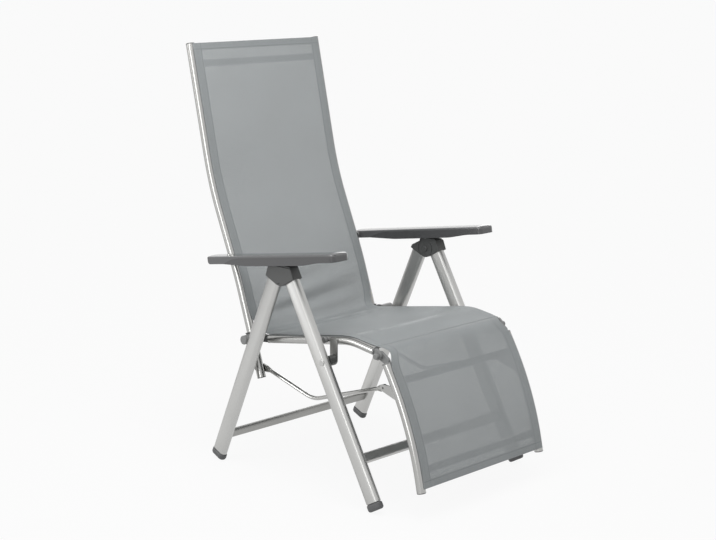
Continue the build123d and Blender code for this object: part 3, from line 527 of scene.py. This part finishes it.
finishes["dark_plastic"] = plastic("hub nylon", (0.066, 0.068, 0.067), (0.38, 0.50), 0.35, 1800.0)
finishes["arm_plastic"] = plastic("armrest moulding", (0.048, 0.048, 0.050), (0.20, 0.25), 0.10, 2400.0, 0.05, 0.7)
# The cover's lighter colour is painted light on the armrest tops.
cover_painted_lit = plastic("armrest cover painted lit", (0.078, 0.078, 0.081), (0.18, 0.23), 0.08, 2400.0, 0.05, 0.8)
foot_nylon = plastic("foot nylon", (0.100, 0.102, 0.105), (0.40, 0.55), 0.40, 1500.0, 0.25)
fitting_nylon = plastic("grey fitting nylon", (0.200, 0.203, 0.202), (0.30, 0.42), 0.25, 1800.0)
print("plastics", "dark_plastic", "arm_plastic", cover_painted_lit.name, foot_nylon.name, fitting_nylon.name)

# %% [markdown]
# ## Each solid gets its finish
#
# The frame's record gives every solid a material slot, so most solids take the finish of their slot. A few look
# different from the rest of their slot, and those are named here. Some differ as on the real chair, such as the
# lighter nylon of the knee fittings. The rear crossbar is painted darker as painted shade, and the armrest covers are
# painted lighter as painted light. Nothing is painted by hand, so a solid that is changed in CAD keeps its finish.

# %% Give each solid its finish
slot_of = {part["node"]: part["material_slot"] for part in frame["record"]["subparts"]}
finish_of = {node: finishes[slot] for node, slot in slot_of.items() if slot in finishes}
apart_from_slot = (
    (front_leg_finish, "front_leg_left", "front_leg_right"),
    (rear_leg_finish, "rear_leg_left", "rear_leg_right"),
    (shaded_crossbar_finish, "rear_leg_crossbar"),
    (finishes["leg_silver"], "seat_pivot_bolts"),
    (finishes["dark_plastic"], "hub_bolts", "rod_front_bolts"),
    (cover_painted_lit, "armrest_cover_left", "armrest_cover_right"),
    (foot_nylon, "front_feet", "rear_feet"),
    (fitting_nylon, "stop_knobs", "knee_socket_left", "knee_socket_right", "knee_plug_left", "knee_plug_right",
     "knee_bolts", "rail_spacers", "arm_pivot_bushes"),
)
for finish, *nodes in apart_from_slot:
    finish_of.update(dict.fromkeys(nodes, finish))
for node, finish in finish_of.items():
    frame["nodes"][node].data.materials.clear()
    frame["nodes"][node].data.materials.append(finish)
print("finished", len(finish_of), "of", len(slot_of), "solids, and the rest are cloth")

# %% [markdown]
# ## The mesh cloth
#
# The sling is one long cloth on the real chair. Its side hems are folded back and held along the tubes, so it is
# drum tight across, and it only goes soft where the tubes stop: between seat and back, and over the knee. A cloth
# simulation could find its shape, but the tubes already give it. So it is cut as a flat grid with room for its hems,
# and then laid along the line of the tubes. Two grids share that one line. The first covers back and seat and bends
# at the back pivot, and the second covers the knee and the leg rest and bends at the knee. They meet at the crease
# along the front of the seat.

# %% Bend and lift a line, seen from the side
def rounded(corners, bend, step=0.004):
    """Even points along straight runs that are joined by arcs of one radius."""
    points = [corners[0]]
    for before, corner, after in zip(corners, corners[1:], corners[2:]):
        into = (corner - before).normalized()
        turn = into.angle_signed((after - corner).normalized())
        start = corner - into * bend * tan(abs(turn) / 2)
        inward = Vector((into.y, -into.x)) if turn > 0 else Vector((-into.y, into.x))
        centre = start + inward * bend
        count = max(2, round(abs(turn) * bend / step))
        for place in range(count + 1):
            points.append(centre + Matrix.Rotation(-turn * place / count, 2) @ (start - centre))
    points.append(corners[-1])
    return points


def lifted(points, lift):
    """The line moved off the tubes' axis, to the side where the sitter is."""
    moved = []
    for place, point in enumerate(points):
        way = (points[min(place + 1, len(points) - 1)] - points[max(place - 1, 0)]).normalized()
        moved.append(point + Vector((way.y, -way.x)) * lift)
    return moved


def from_hub(*places):
    """Points in metres, given as millimetres behind the hub and above the floor."""
    return [Vector((y / 1000 + hub.y, z / 1000)) for y, z in places]


print("a right angle with a bend of 0.1 m has", len(rounded(from_hub((0, 0), (500, 0), (500, 500)), 0.1)), "points")

# %% The three runs along the tubes
cloth_lift = 0.0134
back_bend, seat_bend, rest_bend = 0.88, 0.2, 0.83

back_corners = from_hub((425, 1150), (341, 770), (235, 520), (199.3, 414))
seat_corners = from_hub((112.9, 368.9), (-205, 421.5), (-297, 408.5))
rest_corners = from_hub((-333, 381), (-422.04, 226.97), (-452.2, 81.9))
back_run = lifted(rounded(back_corners, back_bend), cloth_lift)
seat_run = lifted(rounded(seat_corners, seat_bend), cloth_lift)
rest_run = lifted(rounded(rest_corners, rest_bend), cloth_lift)
print("runs of", len(back_run), len(seat_run), len(rest_run), "points,", cloth_lift, "m off the tubes' axis")

# %% The whole line, with its two free bends
bend_pull = 0.42
bend_steps = 24


def free_bend(first, before, after, last):
    """A smooth bend from one run's end to the next run's start, in line with both."""
    span = (last - first).length * bend_pull
    one = first + (first - before).normalized() * span
    two = last + (last - after).normalized() * span
    points = []
    for place in range(1, bend_steps):
        t = place / bend_steps
        points.append(first * (1 - t) ** 3 + one * 3 * t * (1 - t) ** 2 + two * 3 * t * t * (1 - t) + last * t ** 3)
    return points


lap_bend = free_bend(back_run[-1], back_run[-2], seat_run[1], seat_run[0])
knee_bend = free_bend(seat_run[-1], seat_run[-2], rest_run[1], rest_run[0])
line = []
run_ends = []
for run in (back_run, lap_bend, seat_run, knee_bend, rest_run):
    line += run
    run_ends.append(len(line) - 1)
lengths = [0.0]
for before, after in zip(line, line[1:]):
    lengths.append(lengths[-1] + (after - before).length)
back_end, seat_start = lengths[run_ends[0]], lengths[run_ends[1] + 1]
seat_end, rest_start = lengths[run_ends[2]], lengths[run_ends[3] + 1]
rest_end = lengths[-1]
print("cloth line", round(rest_end, 3), "m long, seat from", round(seat_start, 3), "to", round(seat_end, 3))

# %% [markdown]
# ## The shape of the stretched cloth
#
# Between the tubes the cloth gives a little under its own weight: a few millimetres in the middle and nothing at its
# edges. Over the back pivot no tube holds it, so it is pulled in at both sides and gathers in shallow folds that
# run slantwise. Over the knee it is pulled in a little too. Each of those is a smooth hill or hollow at its place on
# the flat cut. One function adds them up, and the hems are turned to the back as the real ones are.

# %% Where a length lies on the line
look_round = 3


def along_line(length):
    """The point of the line at that length, and the way that it looks out to the sitter."""
    length = min(max(length, 0.0), rest_end)
    low = min(bisect_right(lengths, length) - 1, len(lengths) - 2)
    share = (length - lengths[low]) / (lengths[low + 1] - lengths[low])
    before = line[max(low - look_round, 0)]
    after = line[min(low + 1 + look_round, len(line) - 1)]
    way = (after - before).normalized()
    return line[low].lerp(line[low + 1], share), Vector((way.y, -way.x))


print("front edge of the seat at", tuple(round(value, 3) for value in along_line(seat_end)[0]))

# %% Sag and folds
half_width = 0.2358
back_sag, seat_sag, rest_sag, lap_sag = 0.005, 0.006, 0.003, 0.010
lap_sag_width = 0.045
lap_middle = (back_end + seat_start) / 2
# Each fold's place from the middle of the lap, its lean, its width and its height.
lap_folds = (
    (0.000, 0.01, 0.010, 0.0042),
    (-0.018, 0.05, 0.012, -0.0046),
    (-0.036, 0.09, 0.013, 0.0044),
    (-0.056, 0.14, 0.016, -0.0040),
    (-0.080, 0.18, 0.019, 0.0030),
    (0.018, -0.04, 0.012, -0.0042),
    (0.038, -0.07, 0.015, 0.0032),
)


def hill(value, middle, width):
    """A smooth hill of height 1."""
    return exp(-((value - middle) / width) ** 2)


def hollow(length, start, end):
    """A smooth hollow of depth 1 between two lengths, and 0 outside them."""
    return sin(pi * min(max((length - start) / (end - start), 0.0), 1.0))


def sag(across, length):
    """How far the cloth gives under its own weight and slackness, and where it folds."""
    slack = 1.0 - (across / half_width) ** 2
    depth = back_sag * hollow(length, 0.0, back_end) + seat_sag * hollow(length, seat_start, seat_end)
    depth += rest_sag * hollow(length, rest_start, rest_end) + lap_sag * hill(length, lap_middle, lap_sag_width)
    folds = 0.0
    for start, lean, width, height in lap_folds:
        crest = lap_middle + start - lean * (across + half_width)
        folds += height * hill(length, crest, width)
    return -(depth + folds) * slack


print("the seat gives", round(-1000 * sag(0.0, (seat_start + seat_end) / 2), 1), "mm in its middle")

# %% Lay a point of the flat cut on the chair
end_hem = 0.020
ply_step = 0.0009
lap_pull, lap_width = 0.075, 0.032
knee_pull, knee_width = 0.075, 0.026
knee_middle = (seat_end + rest_start) / 2


def lay(across, length):
    """Where a point of the flat cut lies on the chair. Hems are folded to the back."""
    behind = 0.0
    if abs(across) > half_width:
        behind = ply_step
        across = (2 * half_width - abs(across)) * (1 if across > 0 else -1)
    if length < 0.0:
        behind += ply_step
        length = -length
    if length > rest_end:
        behind += ply_step
        length = 2 * rest_end - length
    point, out = along_line(length)
    pull = lap_pull * hill(length, lap_middle, lap_width) + knee_pull * hill(length, knee_middle, knee_width)
    across *= 1.0 - pull
    point = point + out * (sag(across, length) - behind)
    return Vector((across, point.x, point.y))


print("top corner of the cloth at", tuple(round(value, 3) for value in lay(half_width, 0.0)))

# %% [markdown]
# ## Cloth finish
#
# The thread is flat coated yarn in a cool grey, paler where the weft lies on top, with a weak sheen. What lies
# behind the cloth shows through it faintly: crossbars, and the tubes of the leg rest. A single see-through value
# would do that like glass. Here the weave's holes are cut out by Alpha instead, so the hems, where two layers lie on
# each other, turn denser by themselves.

# %% Cloth finish
hem_width = 0.029
seam_inset = 0.003
cloth_tooth = 0.0002
warp_colour = (0.270, 0.287, 0.292, 1.0)
weft_colour = (0.345, 0.366, 0.373, 1.0)
weathered = (0.60, 0.59, 0.56, 1.0)
stitch_colour = (0.17, 0.18, 0.185, 1.0)


def cloth_finish(name):
    """Plain woven mesh of flat grey thread that lets a little of what is behind it through."""
    made, tree, shader, _ = new_material(name)
    thread = tree.nodes.new("ShaderNodeUVMap")
    thread.uv_map = "thread"
    place = thread.outputs["UV"]
    woven = add_group(tree, weave, Thread=place)
    sewn = add_group(tree, stitches, Thread=place, Side=half_width - hem_width + seam_inset,
                     Top=end_hem - seam_inset, Bottom=rest_end - end_hem + seam_inset)["Mask"]
    yarn = blended(tree, woven["Shade"], warp_colour, weft_colour)
    weather = ranged(tree, noise_node(tree, place, 7.0, 4.0), 0.35, 0.7, 0.0, 0.10)
    worn = blended(tree, weather, yarn, weathered, "MULTIPLY")
    tree.links.new(blended(tree, sewn, worn, stitch_colour), shader.inputs["Base Color"])
    tree.links.new(math_node(tree, "MAXIMUM", woven["Cover"], sewn), shader.inputs["Alpha"])
    relief = bumped(tree, math_node(tree, "ADD", woven["Height"], sewn), 0.35, cloth_tooth)
    tree.links.new(relief, shader.inputs["Normal"])
    shader.inputs["Roughness"].default_value = 0.62
    shader.inputs["Specular IOR Level"].default_value = 0.35
    shader.inputs["Sheen Weight"].default_value = 0.08
    return made


cloth = cloth_finish("grey mesh cloth")
print("cloth", cloth.name, "with seams", round(hem_width - seam_inset, 3), "m in from its sides")

# %% [markdown]
# ## Cutting and laying the cloth
#
# A grid from bmesh is the flat cut. Its stops are even, but close together at each fold line, so the hem turns
# sharply. Every corner keeps its place on the flat cut as its thread coordinates before it is laid. A thin Solidify
# gives the cloth two faces, so it looks right from behind as well.

# %% The stops of a grid
fold_gap = 0.0004
column_gap = 0.0075
row_gap = 0.0065


def ruled(start, end, gap, turns=()):
    """Even stops from start to end, with close stops on both sides of each fold."""
    count = max(1, round((end - start) / gap))
    stops = [start + (end - start) * place / count for place in range(count + 1)]
    stops = [stop for stop in stops if all(abs(stop - turn) > gap / 3 for turn in turns)]
    for turn in turns:
        stops += [turn - fold_gap, turn, turn + fold_gap]
    return sorted(stops)


cut_side = half_width + hem_width
columns = ruled(-cut_side, cut_side, column_gap, (-half_width, half_width))
print("columns", len(columns))

# %% Cut the grids and lay them
cloth_thickness = 0.0003


def cloth_piece(name, start, end, turns=()):
    """A grid of the cut between two lengths, with its thread coordinates in metres, laid on the line."""
    rows = ruled(start, end, row_gap, turns)
    shape = bmesh.new()
    bmesh.ops.create_grid(shape, x_segments=len(columns) - 1, y_segments=len(rows) - 1, size=1.0)
    thread = shape.loops.layers.uv.new("thread")
    flat = {}
    for vertex in shape.verts:
        column = round((vertex.co.x + 1.0) / 2.0 * (len(columns) - 1))
        row = round((vertex.co.y + 1.0) / 2.0 * (len(rows) - 1))
        flat[vertex] = (columns[column], rows[row])
    for face in shape.faces:
        face.smooth = True
        for corner in face.loops:
            corner[thread].uv = flat[corner.vert]
    for vertex, (across, length) in flat.items():
        vertex.co = lay(across, length)
    shape.normal_update()
    mesh = bpy.data.meshes.new(name)
    shape.to_mesh(mesh)
    shape.free()
    mesh.materials.append(cloth)
    piece = put_in_scene(name, mesh)
    thick = piece.modifiers.new("cloth thickness", "SOLIDIFY")
    thick.thickness = cloth_thickness
    thick.offset = 0.0
    print(name, len(rows), "by", len(columns), "stops")
    return piece


seat_cloth = cloth_piece("back_and_seat_cloth", -end_hem, seat_end, (0.0,))
rest_cloth = cloth_piece("leg_rest_cloth", seat_end, rest_end + end_hem, (rest_end,))

# %% [markdown]
# ## The cloth in place of the frame's slings
#
# The chair moves on its pivots. The frame's plain cloth solids are hidden, because the two laid pieces stand for
# them, and each piece's size is printed as it was cut.

# %% Hide the frame's slings and print the cut sizes
def line_point(length):
    """The middle of the cloth at that length, in the frame."""
    point, _ = along_line(length)
    return Vector((0.0, point.x, point.y))


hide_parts("back_sling", "seat_sling")
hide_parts("legrest_sling")
line_point(seat_start)
line_point(back_end)
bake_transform(seat_cloth)
line_point(seat_end)
line_point(rest_start)
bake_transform(rest_cloth)
cuts = (
    (seat_cloth, seat_end + end_hem, ["back_tube_left", "back_tube_right", "seat_rail_left", "seat_rail_right"]),
    (rest_cloth, rest_end + end_hem - seat_end, ["legrest_tube_left", "legrest_tube_right"]),
)
for piece, cut_length, holders in cuts:
    print(piece.name, "cut", round(2 * cut_side, 3), "by", round(cut_length, 3), "m")
